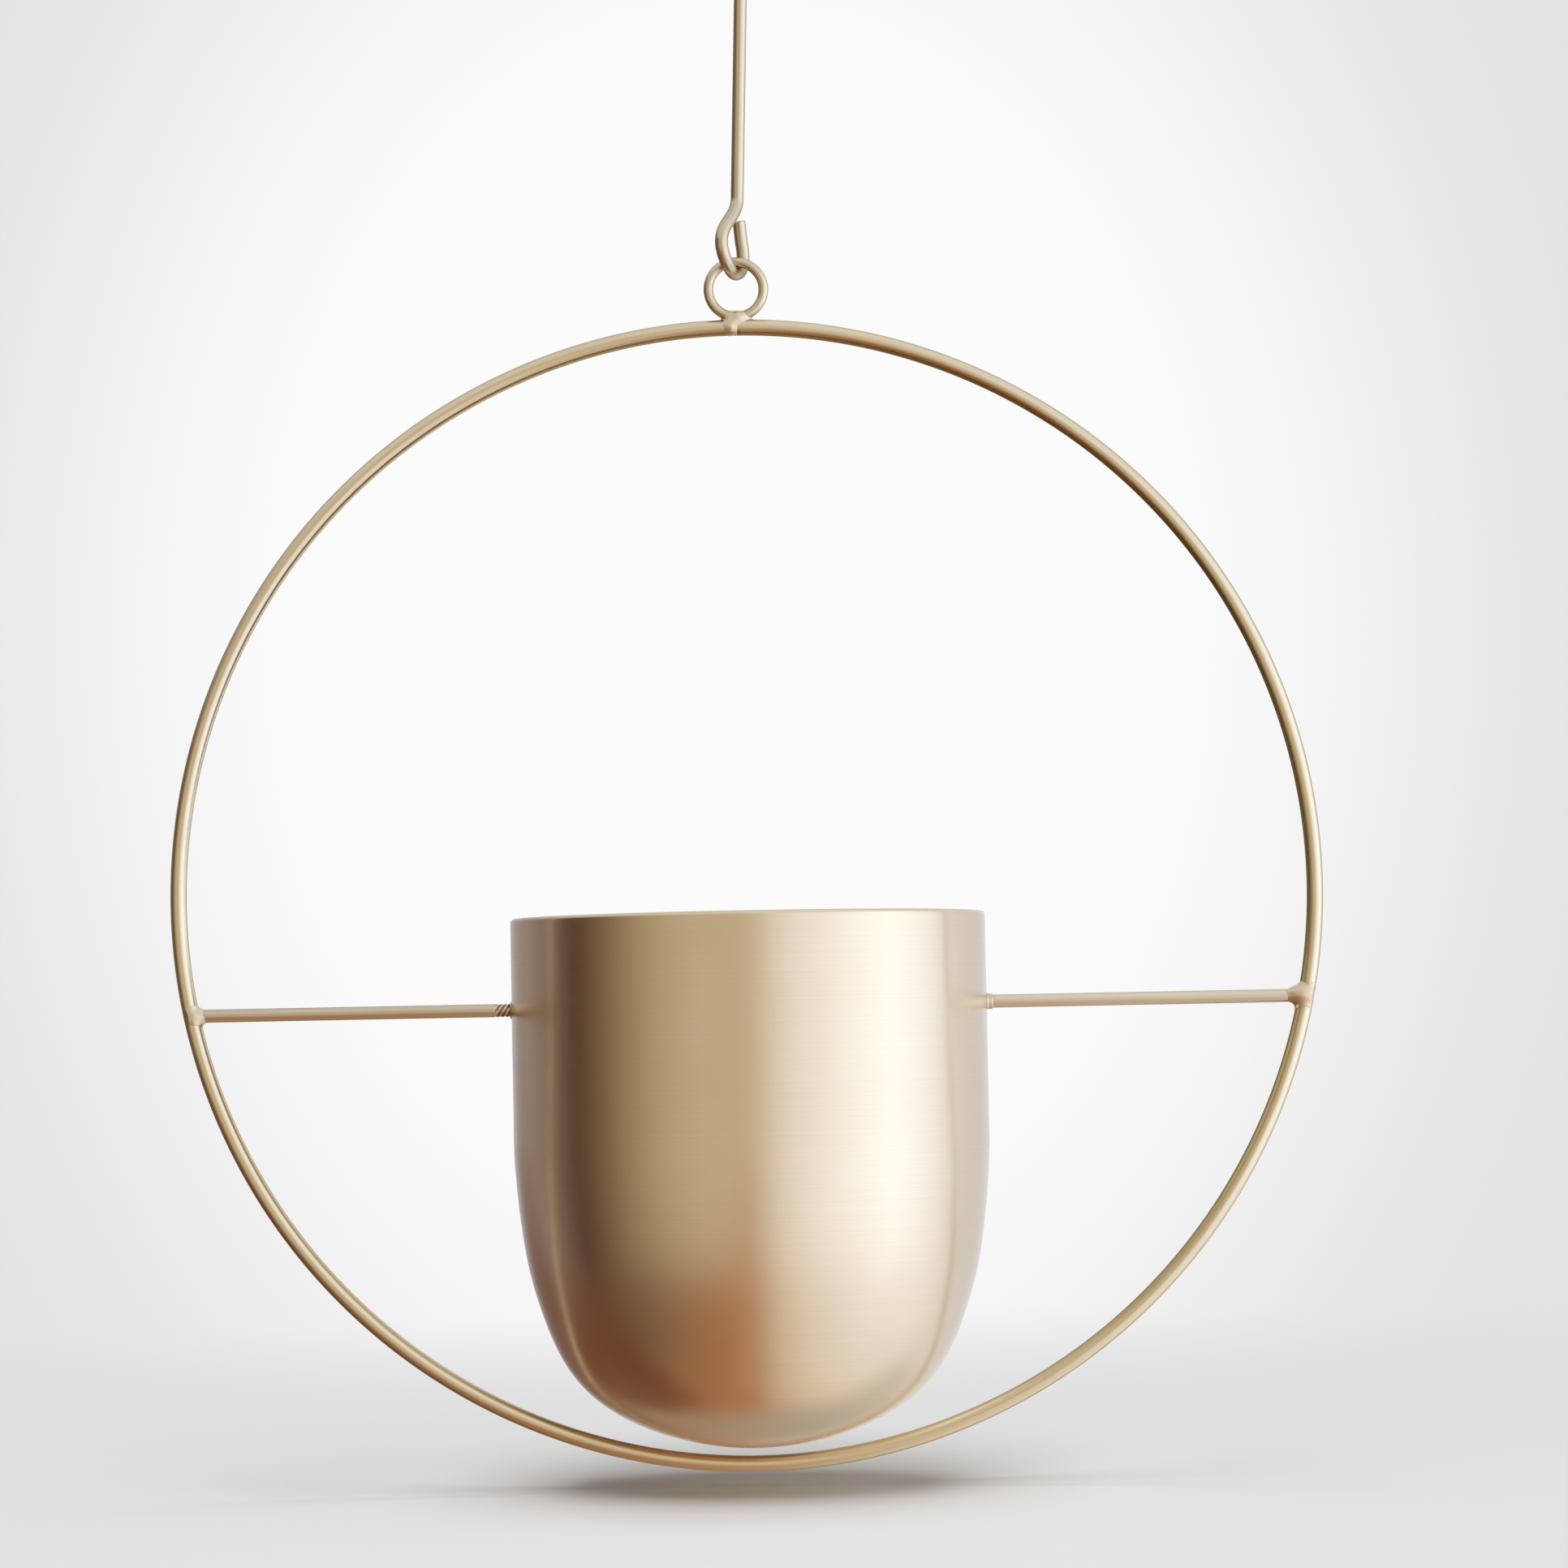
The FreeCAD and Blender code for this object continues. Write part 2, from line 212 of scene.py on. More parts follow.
def shade_wire(m, tone, amount, bounce_tint, hoop_place):
    """Painted shade darkens the wire where it turns away from the eye, and a painted bounce tint
    colours it underneath.
    """
    facing = m.new("ShaderNodeLayerWeight", {"Blend": 0.5}).outputs["Facing"]
    turned = m.fade(facing, zero=0.60, one=0.93)
    tone = m.mix(m.times(turned, amount), tone, RIM_SHADE_BROWN)
    normal = m.new("ShaderNodeNewGeometry").outputs["Normal"]
    normal_x, _, normal_z = m.separate(normal)
    # painted floor-bounce light: colour multiplied on faces that look down
    bounce_mask = m.fade(m.times(normal_z, -1.0), zero=0.10, one=0.60)
    if hoop_place:
        # only the lower left of the hoop gets the painted bounce light underneath
        x, height, radius = hoop_place
        bounce_mask = m.times(bounce_mask, m.minus(0.75, m.times(x, 12.0), clamp=True))
        bounce_mask = m.times(bounce_mask, m.times(m.plus(height, 0.09), -14.0, clamp=True))
    tone = m.mix(bounce_mask, tone, m.mix(1.0, tone, bounce_tint, "MULTIPLY"))
    if hoop_place:
        # painted shade: the inner side is browner, most of all on the right and away from the foot
        outward = m.plus(m.times(normal_x, x), m.times(normal_z, height))
        inward = m.times(m.math("DIVIDE", outward, radius), -1.0)
        side = m.plus(m.times(x, 8.0), 0.7, clamp=True)
        side = m.times(side, m.times(m.plus(height, 0.175), 20.0, clamp=True))
        inner = m.times(m.fade(inward, zero=0.15, one=0.65), side)
        tone = m.mix(inner, tone, m.mix(1.0, tone, INNER_SHADE_TINT, "MULTIPLY"))
    m.bsdf.inputs["Specular Tint"].default_value = SPECULAR_TINT
    return tone


def brass(name, base, dark, roughness, stretch, line_bump, seed, mottle=0.5, grain=0.04,
          crevice_shade=0.35, crevice_reach=0.004, rim_shade=0.0, bounce_tint=(1.0, 1.0, 1.0)):
    """Satin champagne brass with fine lines; base and dark are two tones mottled together.

    line_bump and grain are bump strengths; mottle is the amount of the dark tone; the crevice and
    rim amounts are painted shade, brown in narrow places and darkening where a wire turns away.
    """
    m = Material(name)
    x, y, z = m.separate(m.place)
    hoop_place = None
    if stretch is ROUND_HOOP:
        height = m.minus(z, HOOP_Z)
        radius = m.length(x, height)
        hoop_place = (x, height, radius)
        angle = m.math("ARCTAN2", height, x)
        round_it, across = HOOP_STRETCH
        pattern = m.combine(m.times(angle, round_it), m.times(radius, across), m.times(y, across))
    else:
        pattern = m.combine(*(m.times(value, by) for value, by in zip((x, y, z), stretch)))
    lines = m.noise(pattern, scale=1.0, detail=2.0, roughness=0.6)
    cloud = m.noise(m.shifted((seed, seed * 1.7, seed * 0.3)),
                    scale=34.0, detail=4.0, roughness=0.55, distortion=0.3)
    fine = m.noise(m.shifted((seed * 2, 0, seed)), scale=420.0, detail=3.0, roughness=0.6)

    tone = m.mix(m.times(m.fade(cloud, zero=0.38, one=0.66), mottle), base, dark)
    line_tone = tuple(c * 0.80 for c in dark)
    tone = m.mix(m.times(m.fade(lines, zero=0.35, one=0.7), 0.10), tone, line_tone)
    # painted shade: brown where ambient occlusion finds narrow places
    narrow = m.crevices(crevice_reach, full=0.45, none=0.95)
    tone = m.mix(m.times(narrow, crevice_shade), tone, CREVICE_SHADE_BROWN)
    # paler and a little smoother on sharp convex edges
    pointed = m.new("ShaderNodeNewGeometry").outputs["Pointiness"]
    sharp_edge = m.fade(pointed, zero=0.52, one=0.60)
    tone = m.mix(m.times(sharp_edge, 0.45), tone, PALE_EDGE)

    rough = m.plus(m.between(cloud, low=roughness - 0.06, high=roughness + 0.07),
                   m.between(lines, low=-0.04, high=0.05))
    rough = m.plus(rough, m.between(fine, low=-0.02, high=0.02), clamp=True)
    rough = m.minus(rough, m.times(sharp_edge, 0.05), clamp=True)
    normal = m.bump(lines, strength=line_bump, distance=0.00004)
    normal = m.bump(fine, strength=grain, distance=0.00008, normal=normal)
    # painted shade at the wire's edges and painted bounce light underneath
    if rim_shade:
        tone = shade_wire(m, tone, rim_shade, bounce_tint, hoop_place)
    return m.surface(tone, rough, normal, metallic=1.0)


WIRE = dict(line_bump=0.03, grain=0.025)  # smooth drawn wire

mat_pot = brass(
    "pot_spun_brass", base=(0.885, 0.750, 0.565), dark=(0.865, 0.720, 0.525),
    roughness=0.215, stretch=SPUN, line_bump=0.022, seed=3.1)
mat_pot_inside = brass(
    "pot_inside_spun_brass", base=(0.80, 0.64, 0.44), dark=(0.70, 0.53, 0.34),
    roughness=0.33, stretch=SPUN_COARSE, line_bump=0.30, seed=9.3, mottle=0.8)
mat_hoop = brass(
    "hoop_drawn_brass", base=(0.88, 0.765, 0.56), dark=(0.845, 0.72, 0.50),
    roughness=0.205, stretch=ROUND_HOOP, seed=1.3, mottle=0.45, rim_shade=0.62,
    bounce_tint=(0.90, 1.08, 1.08), **WIRE)
mat_arm = brass(
    "arm_drawn_brass", base=(0.90, 0.805, 0.66), dark=(0.86, 0.75, 0.59),
    roughness=0.205, stretch=ALONG_X, seed=5.2, mottle=0.45, rim_shade=0.62,
    bounce_tint=(1.05, 1.22, 1.38), **WIRE)
# painted shade: the left arm is a darker copy of the arm brass
mat_left_arm_shaded = brass(
    "left_arm_shaded_brass", base=(0.76, 0.665, 0.525), dark=(0.72, 0.61, 0.46),
    roughness=0.205, stretch=ALONG_X, seed=7.7, mottle=0.45, rim_shade=0.62,
    bounce_tint=(0.92, 1.07, 1.02), **WIRE)
mat_thread = brass(
    "arm_thread_brass", base=(0.90, 0.80, 0.62), dark=(0.80, 0.67, 0.47),
    roughness=0.24, stretch=ALONG_X, line_bump=0.03, seed=11.7, mottle=0.4, grain=0.03,
    crevice_shade=0.85, crevice_reach=0.0012, rim_shade=0.3)
mat_rod = brass(
    "hanger_drawn_brass", base=(0.755, 0.655, 0.49), dark=(0.72, 0.61, 0.44),
    roughness=0.23, stretch=ALONG_Z, seed=2.2, mottle=0.45, rim_shade=0.55, **WIRE)
mat_eye = brass(
    "eye_drawn_brass", base=(0.80, 0.70, 0.52), dark=(0.76, 0.64, 0.45),
    roughness=0.22, stretch=ALONG_Z, seed=8.4, rim_shade=0.62, **WIRE)
mat_boss = brass(
    "boss_turned_brass", base=(0.885, 0.75, 0.565), dark=(0.845, 0.695, 0.50),
    roughness=0.26, stretch=ALONG_X, line_bump=0.04, seed=4.4)
mat_fixing = brass(
    "fixing_bright_brass", base=(0.86, 0.66, 0.37), dark=(0.76, 0.55, 0.28),
    roughness=0.22, stretch=ALONG_X, line_bump=0.08, seed=6.6)


# ------------------------------------------------------------------ solder and rubber
def solder():
    """Dressed solder: cloudy brass with small dark pits."""
    base, dark = (0.86, 0.745, 0.555), (0.81, 0.675, 0.475)
    pit_brown, solder_crevice_shade = (0.33, 0.20, 0.10), (0.16, 0.085, 0.04)
    m = Material("solder_dressed_brass")
    cloud = m.noise(m.shifted((2, 5, 1)), scale=260.0, detail=4.0, roughness=0.6, distortion=0.4)
    pits = m.noise(m.shifted((7, 1, 3)), scale=1500.0, detail=3.0, roughness=0.6)
    tone = m.mix(m.fade(cloud, zero=0.35, one=0.65), base, dark)
    tone = m.mix(m.times(m.fade(pits, zero=0.70, one=0.80), 0.20), tone, pit_brown)
    # painted shade: darker brown in narrow places
    narrow = m.crevices(reach=0.002, full=0.4, none=0.95)
    tone = m.mix(m.times(narrow, 0.5), tone, solder_crevice_shade)
    rough = m.plus(m.between(cloud, low=0.24, high=0.34),
                   m.between(pits, low=-0.04, high=0.06), clamp=True)
    normal = m.bump(cloud, strength=0.10, distance=0.0002)
    normal = m.bump(pits, strength=0.06, distance=0.00010, normal=normal)
    return m.surface(tone, rough, normal, metallic=1.0)


def rubber():
    """Dull black rubber."""
    black, dusty = (0.018, 0.018, 0.019), (0.040, 0.038, 0.036)
    m = Material("seal_black_rubber")
    fine = m.noise(m.shifted(), scale=900.0, detail=4.0, roughness=0.6)
    cloud = m.noise(m.shifted((3, 3, 3)), scale=60.0, detail=3.0, roughness=0.5)
    return m.surface(m.mix(m.fade(cloud, zero=0.35, one=0.7), black, dusty),
                     m.between(fine, low=0.55, high=0.8),
                     m.bump(fine, strength=0.25, distance=0.0001))


mat_solder = solder()
mat_rubber = rubber()

for material, nodes in (
    (mat_solder, ("eye_weld", "left_arm_weld", "right_arm_weld")),
    (mat_fixing, ("left_washer", "right_washer", "left_nut", "right_nut")),
    (mat_rubber, ("left_seal", "right_seal")),
    (mat_boss, ("left_boss", "right_boss")),
    (mat_hoop, ("hoop",)),
    (mat_eye, ("eye_ring",)),
    (mat_arm, ("left_arm", "right_arm")),
    (mat_rod, ("hanger_rod",)),
    (mat_pot, ("pot_shell",)),
):
    for node in nodes:
        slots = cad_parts[node].data.materials
        slots.clear()
        slots.append(material)


# ------------------------------------------------------------------ mesh tools
def shade_smooth(mesh):
    mesh.polygons.foreach_set("use_smooth", [True] * len(mesh.polygons))


def add_piece(name, verts, faces, material, body, replaces, sharp_from=None):
    """Smooth shaded object that rides on body and stands in for a CAD piece; verts in metres.

    Edges sharper than sharp_from degrees stay crisp.
    """
    mesh = bpy.data.meshes.new(name)
    mesh.from_pydata(verts, [], faces)
    mesh.validate()
    bm = bmesh.new()
    bm.from_mesh(mesh)
    bmesh.ops.recalc_face_normals(bm, faces=bm.faces)
    bm.to_mesh(mesh)
    bm.free()
    piece = bpy.data.objects.new(name, mesh)
    bpy.context.scene.collection.objects.link(piece)
    mesh.materials.append(material)
    shade_smooth(mesh)
    if sharp_from is not None:
        mesh.set_sharp_from_angle(angle=math.radians(sharp_from))
    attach(piece, body)
    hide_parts(replaces)
    return piece


def tube_faces(rows, steps, closed):
    """Quads between successive rings of `steps` vertices; an open tube gets two end caps."""
    faces = []
    for i in range(rows if closed else rows - 1):
        j = (i + 1) % rows
        for k in range(steps):
            after = (k + 1) % steps
            faces.append((i * steps + k, i * steps + after, j * steps + after, j * steps + k))
    if not closed:
        faces += [tuple(range(steps)), tuple((rows - 1) * steps + k for k in range(steps))]
    return faces


def lathe(profile, steps):
    """Turn an open profile of (radius, height) round Z. Radius 0 makes one shared vertex."""
    verts, faces, rows = [], [], []
    for radius, height in profile:
        if radius < 1e-9:
            rows.append([len(verts)] * steps)
            verts.append((0.0, 0.0, height))
            continue
        rows.append(list(range(len(verts), len(verts) + steps)))
        for k in range(steps):
            angle = 2 * math.pi * k / steps
            verts.append((radius * math.cos(angle), radius * math.sin(angle), height))
    for a, b in zip(rows, rows[1:]):
        for k in range(steps):
            after = (k + 1) % steps
            faces.append(tuple(dict.fromkeys((a[k], a[after], b[after], b[k]))))
    return verts, faces


def spline(points, first_slope, last_slope, samples):
    """Clamped cubic spline by chord length; returns places and unit tangents."""
    points = np.array(points, float)
    chords = np.linalg.norm(np.diff(points, axis=0), axis=1)
    count = len(points)
    system, sides = np.zeros((count, count)), np.zeros((count, 2))
    system[0, 0] = system[-1, -1] = 1
    sides[0], sides[-1] = first_slope, last_slope
    for i in range(1, count - 1):
        before, after = chords[i - 1], chords[i]
        system[i, i - 1], system[i, i], system[i, i + 1] = after, 2 * (before + after), before
        sides[i] = 3 * (after * (points[i] - points[i - 1]) / before
                        + before * (points[i + 1] - points[i]) / after)
    slopes = np.linalg.solve(system, sides)
    places, tangents = [], []
    for i in range(count - 1):
        p, q, m, n, h = points[i], points[i + 1], slopes[i], slopes[i + 1], chords[i]
        for k in range(samples):
            u = k / samples
            places.append(p * (2 * u**3 - 3 * u**2 + 1) + h * m * (u**3 - 2 * u**2 + u)
                          + q * (3 * u**2 - 2 * u**3) + h * n * (u**3 - u**2))
            along = (p * (6 * u**2 - 6 * u) / h + m * (3 * u**2 - 4 * u + 1)
                     + q * (6 * u - 6 * u**2) / h + n * (3 * u**2 - 2 * u))
            tangents.append(along / np.linalg.norm(along))
    places.append(points[-1])
    tangents.append(np.array(last_slope, float) / np.linalg.norm(last_slope))
    return np.array(places), np.array(tangents)


# ------------------------------------------------------------------ pot, spun
# outside of the bowl from the foot of the straight wall to the bottom: (radius, dz)
BOWL = [
    (POT_RADIUS, -75.0), (72.62, -85.0), (71.20, -100.0), (68.75, -115.0),
    (64.35, -130.0), (60.15, -140.0), (53.6, -149.8), (46.0, -156.6),
    (35.8, -162.4), (24.5, -166.5), (12.5, -169.15), (0.0, -170.0),
]
BOWL_SAMPLES = 6  # per span of the table
SHEET = 1.2  # thickness
HEM_THICK, HEM_HEIGHT = 2.6, 8.0  # rim folded inwards
POT_STEPS = 288
HOLE_RADIUS = 2.1
HOLE_CLEAR = 2.35  # wall cells with their middle within this of an arm's axis are cut away
CHATTER = 0.035  # unevenness of the spun sheet
# rows of the straight wall, shared by both faces and close together at the arms
WALL_ROWS = (
    [BOWL[0][1] + 4, -66, -60, -54, -48, ARM_DZ - 8, ARM_DZ - 6]
    + [ARM_DZ + k * 0.75 for k in range(-6, 7)]
    + [ARM_DZ + 6, ARM_DZ + 8, -24, -20, -17.5])
# a wall cell's neighbours (row, column) and the two corners shared with each
CELL_SIDES = {
    (-1, 0): ((0, 0), (0, 1)), (1, 0): ((1, 0), (1, 1)),
    (0, -1): ((0, 0), (1, 0)), (0, 1): ((0, 1), (1, 1)),
}


def pot_vertex(row, k):
    """Index of a vertex in the turned pot; row 0 is the single one at the bottom."""
    return 1 + (row - 1) * POT_STEPS + k % POT_STEPS


def bowl_curves():
    """Outer and inner curve of the bowl, from the wall down to the axis."""
    outer, tangent = spline(BOWL, (0, -1), (-1, 0), BOWL_SAMPLES)
    inner = np.stack([outer[:, 0] + tangent[:, 1] * SHEET, outer[:, 1] - tangent[:, 0] * SHEET], 1)
    inner[0] = (POT_RADIUS - SHEET, BOWL[0][1])
    inner[-1] = (0.0, BOWL[-1][1] + SHEET)
    return [tuple(v) for v in outer], [tuple(v) for v in inner]


def rim_curves():
    """The hem's outside with its round top, then its inside down to the wall."""
    round_r = HEM_THICK / 2
    hem = RIM_DZ - HEM_HEIGHT
    hem_inside, wall_inside = POT_RADIUS - HEM_THICK, POT_RADIUS - SHEET
    outside = [(POT_RADIUS, z) for z in
               (hem - 1.0, hem, RIM_DZ - round_r - 2.0, RIM_DZ - round_r - 0.5)]
    for k in range(17):
        a = math.pi * k / 16
        outside.append((POT_RADIUS - round_r + round_r * math.cos(a),
                        RIM_DZ - round_r + round_r * math.sin(a)))
    inside = [(hem_inside, z) for z in (RIM_DZ - round_r - 0.5, hem + 1.2, hem + 0.6)]
    for k in range(6):
        a = math.pi / 2 * k / 5
        inside.append((hem_inside + 0.5 - 0.5 * math.cos(a), hem + 0.5 - 0.5 * math.sin(a)))
    inside += [(wall_inside - 0.25, hem + 0.02), (wall_inside - 0.04, hem - 0.10),
               (wall_inside, hem - 0.45), (wall_inside, hem - 1.0)]
    return outside, inside


def cut_arm_holes(verts, faces, outside_row, inside_row):
    """Open a round hole through the wall at each arm.

    The two rows are those of WALL_ROWS[0] on the wall's outside and inside.
    """
    cut = set()
    for j in range(len(WALL_ROWS) - 1):
        up = (WALL_ROWS[j] + WALL_ROWS[j + 1]) / 2 - ARM_DZ
        for k in range(POT_STEPS):
            y = POT_RADIUS * math.sin(2 * math.pi * (k + 0.5) / POT_STEPS)
            if math.hypot(y, up) < HOLE_CLEAR:
                cut.add((j, k))
    dropped, bridges = set(), []
    for j, k in cut:
        out, back = outside_row + j, inside_row - j
        for a, b in ((out, out + 1), (back, back - 1)):
            dropped.add(frozenset(pot_vertex(row, col) for row in (a, b) for col in (k, k + 1)))
        for (dj, dk), ((j1, k1), (j2, k2)) in CELL_SIDES.items():
            if (j + dj, (k + dk) % POT_STEPS) not in cut:
                bridges.append((pot_vertex(out + j1, k + k1), pot_vertex(out + j2, k + k2),
                                pot_vertex(back - j2, k + k2), pot_vertex(back - j1, k + k1)))
    # pull the edge of each hole onto a circle
    for v in {v for face in bridges for v in face}:
        x, y, z = verts[v]
        grow = HOLE_RADIUS / math.hypot(y, z - ARM_DZ)
        round_y = y * grow
        reach = math.sqrt(x * x + y * y - round_y * round_y)
        verts[v] = (math.copysign(reach, x), round_y, ARM_DZ + (z - ARM_DZ) * grow)
    return [f for f in faces if frozenset(f) not in dropped] + bridges


def build_pot():
    outer, inner = bowl_curves()
    rim_outside, rim_inside = rim_curves()
    # from the bottom up the outside, over the rim and down the inside
    outside = outer[::-1] + [(POT_RADIUS, z) for z in WALL_ROWS] + rim_outside
    inside = rim_inside + [(POT_RADIUS - SHEET, z) for z in WALL_ROWS[::-1]] + inner
    profile = outside + inside
    verts, faces = lathe(profile, POT_STEPS)
    faces = cut_arm_holes(verts, faces, len(outer), len(profile) - len(inner) - 1)
    # a spun sheet is never perfectly true
    placed = []
    for x, y, z in verts:
        radius = math.hypot(x, y)
        if radius > 1e-6:
            wave = noise.noise(Vector((x * 0.02, y * 0.02, z * 0.045)))
            swell = 1 + CHATTER * wave * min(1.0, radius / 12.0) / radius
            x, y = x * swell, y * swell
        placed.append((x * MM, y * MM, HOOP_Z + z * MM))
    pot = add_piece("pot_spun", placed, faces, mat_pot, "pot", "pot_shell")
    pot.data.materials.append(mat_pot_inside)
    first_inside = pot_vertex(len(outside), 0)
    for face in pot.data.polygons:
        if min(face.vertices) >= first_inside:
            face.material_index = 1


build_pot()

# ------------------------------------------------------------------ threaded arms
ARM_END = 171.0  # within the hoop's wire
ARM_STEPS = 96
THREAD_STARTS, THREAD_LEAD = 5, 7.4
THREAD_RADIUS, THREAD_DEPTH = 1.96, 0.50
THREAD_FLANK = (0.22, 0.42)  # shares of half a tooth: floor of the groove, slope to the crest
THREAD_RUNOUT = 0.9  # length over which the grooves fade out
TIP_RADIUS, TIP_LENGTH = 1.45, 0.5  # chamfered tip


def build_arm(name, node, side, thread_from, material):
    """Round wire along X whose inner end, up to about thread_from, has a steep thread."""
    thread_stop = thread_from + 0.6
    floor, slope = THREAD_FLANK
    stations = (list(np.arange(ARM_TIP, thread_from + 0.9, 0.09))
                + list(np.linspace(thread_from + 1.0, ARM_END, 60)))
    verts = []
    for x in stations:
        for k in range(ARM_STEPS):
            a = 2 * math.pi * k / ARM_STEPS
            r = ARM_WIRE
            if x < thread_stop:
                turn = (THREAD_STARTS * (x / THREAD_LEAD - a / (2 * math.pi))) % 1.0
                tooth = 1 - abs(2 * turn - 1)
                crest = min(1.0, max(0.0, (tooth - floor) / slope))
                fade = min(1.0, max(0.0, (thread_stop - x) / THREAD_RUNOUT))
                r = THREAD_RADIUS - THREAD_DEPTH * (1 - crest) * fade
            if x < ARM_TIP + TIP_LENGTH:
                r = min(r, TIP_RADIUS + (x - ARM_TIP))
            r += 0.006 * noise.noise(Vector((x * 0.08, 2 * math.cos(a), 2 * math.sin(a))))
            verts.append((side * x * MM, r * math.cos(a) * MM, ARM_Z + r * math.sin(a) * MM))
    faces = tube_faces(len(stations), ARM_STEPS, closed=False)
    arm = add_piece(name, verts, faces, material, "frame", node, sharp_from=60)
    arm.data.materials.append(mat_thread)
    for face in arm.data.polygons:
        if abs(face.center.x) < (thread_from + 0.75) * MM:
            face.material_index = 1


build_arm("left_arm_threaded", "left_arm", -1, LEFT_BOSS_FACE + 4.0, mat_left_arm_shaded)
build_arm("right_arm_threaded", "right_arm", 1, RIGHT_BOSS_FACE - 0.75, mat_arm)

# ------------------------------------------------------------------ bosses
BOSS_STEPS = 72
BOSS_BORE = 2.07
BOSS_SUNK = -0.06  # the foot's depth below the wall's surface
TALL_BOSS = 1.2  # a longer boss has a straight side


def boss_profile(length):
    """(radius, height off the wall) from the bore over the lip, out along the foot and back."""
    if length > TALL_BOSS:
        profile = [
            (BOSS_BORE, length), (BOSS_BORE + 0.10, length + 0.02), (2.24, length - 0.04),
            (2.36, length - 0.20), (2.40, length - 0.45), (2.40, 0.75), (2.46, 0.50),
            (2.60, 0.30), (2.84, 0.14), (3.10, 0.045), (3.26, 0.012)]
    else:
        profile = [
            (BOSS_BORE, length - 0.04), (BOSS_BORE + 0.08, length), (2.24, length - 0.03),
            (2.38, length - 0.14), (2.50, 0.30), (2.66, 0.18), (2.88, 0.09),
            (3.12, 0.035), (3.26, 0.012)]
    return profile + [(profile[-1][0] - 0.5, BOSS_SUNK), (BOSS_BORE, BOSS_SUNK)]


def build_boss(name, node, side, length):
    """Low soft collar round the arm, its foot run out onto the curved wall."""
    profile = boss_profile(length)
    verts = []
    for radius, height in profile:
        for k in range(BOSS_STEPS):
            a = 2 * math.pi * k / BOSS_STEPS
            y, z = radius * math.cos(a), radius * math.sin(a)
            x = math.sqrt(POT_RADIUS**2 - y * y) + height
            if 0.05 < height < length - 0.1:
                spot = Vector((3.0 * math.cos(a), 3.0 * math.sin(a), height * 2))
                x += 0.02 * noise.noise(spot)
            verts.append((side * x * MM, y * MM, ARM_Z + z * MM))
    faces = tube_faces(len(profile), BOSS_STEPS, closed=True)
    add_piece(name, verts, faces, mat_boss, "pot", node, sharp_from=60)


build_boss("left_boss_collar", "left_boss", -1, LEFT_BOSS_FACE - POT_RADIUS)
build_boss("right_boss_collar", "right_boss", 1, RIGHT_BOSS_FACE - POT_RADIUS)

# ------------------------------------------------------------------ hoop and eye
END_BEVEL = 0.18


def ring_stations(ring_radius, wire_radius, gap, count):
    """(angle, wire radius) round the ring; the ends at a gap are bevelled."""
    if not gap:
        return [(2 * math.pi * i / count, wire_radius) for i in range(count)]
    half = gap / 2 / ring_radius
    angles = [math.pi / 2 + half + (2 * math.pi - 2 * half) * i / (count - 1)
              for i in range(count)]
    # (angle from the cut end, wire radius)
    bevel = [(0.0, wire_radius - END_BEVEL),
             (0.4 * END_BEVEL / ring_radius, wire_radius - 0.3 * END_BEVEL),
             (END_BEVEL / ring_radius, wire_radius)]
    return ([(angles[0] + turn, r) for turn, r in bevel]
            + [(angle, wire_radius) for angle in angles[1:-1]]
            + [(angles[-1] - turn, r) for turn, r in bevel[::-1]])


def build_ring(name, node, ring_radius, wire_radius, centre_dz, gap, count, steps, material):
    """Round wire bent into a ring in the XZ plane; a gap leaves two cut ends at the top."""
    stations = ring_stations(ring_radius, wire_radius, gap, count)
    verts = []
    for a, radius in stations:
        for k in range(steps):
            b = 2 * math.pi * k / steps
            reach = ring_radius + radius * math.cos(b)
            verts.append((reach * math.cos(a) * MM, radius * math.sin(b) * MM,
                          HOOP_Z + (centre_dz + reach * math.sin(a)) * MM))
    faces = tube_faces(len(stations), steps, closed=not gap)
    add_piece(name, verts, faces, material, "frame", node, sharp_from=60)


build_ring("hoop_wire", "hoop", HOOP_RADIUS, HOOP_WIRE, centre_dz=0.0, gap=0.08,
           count=720, steps=40, material=mat_hoop)
build_ring("eye_wire", "eye_ring", EYE_RADIUS, EYE_WIRE, centre_dz=EYE_DZ, gap=0.0,
           count=144, steps=36, material=mat_eye)


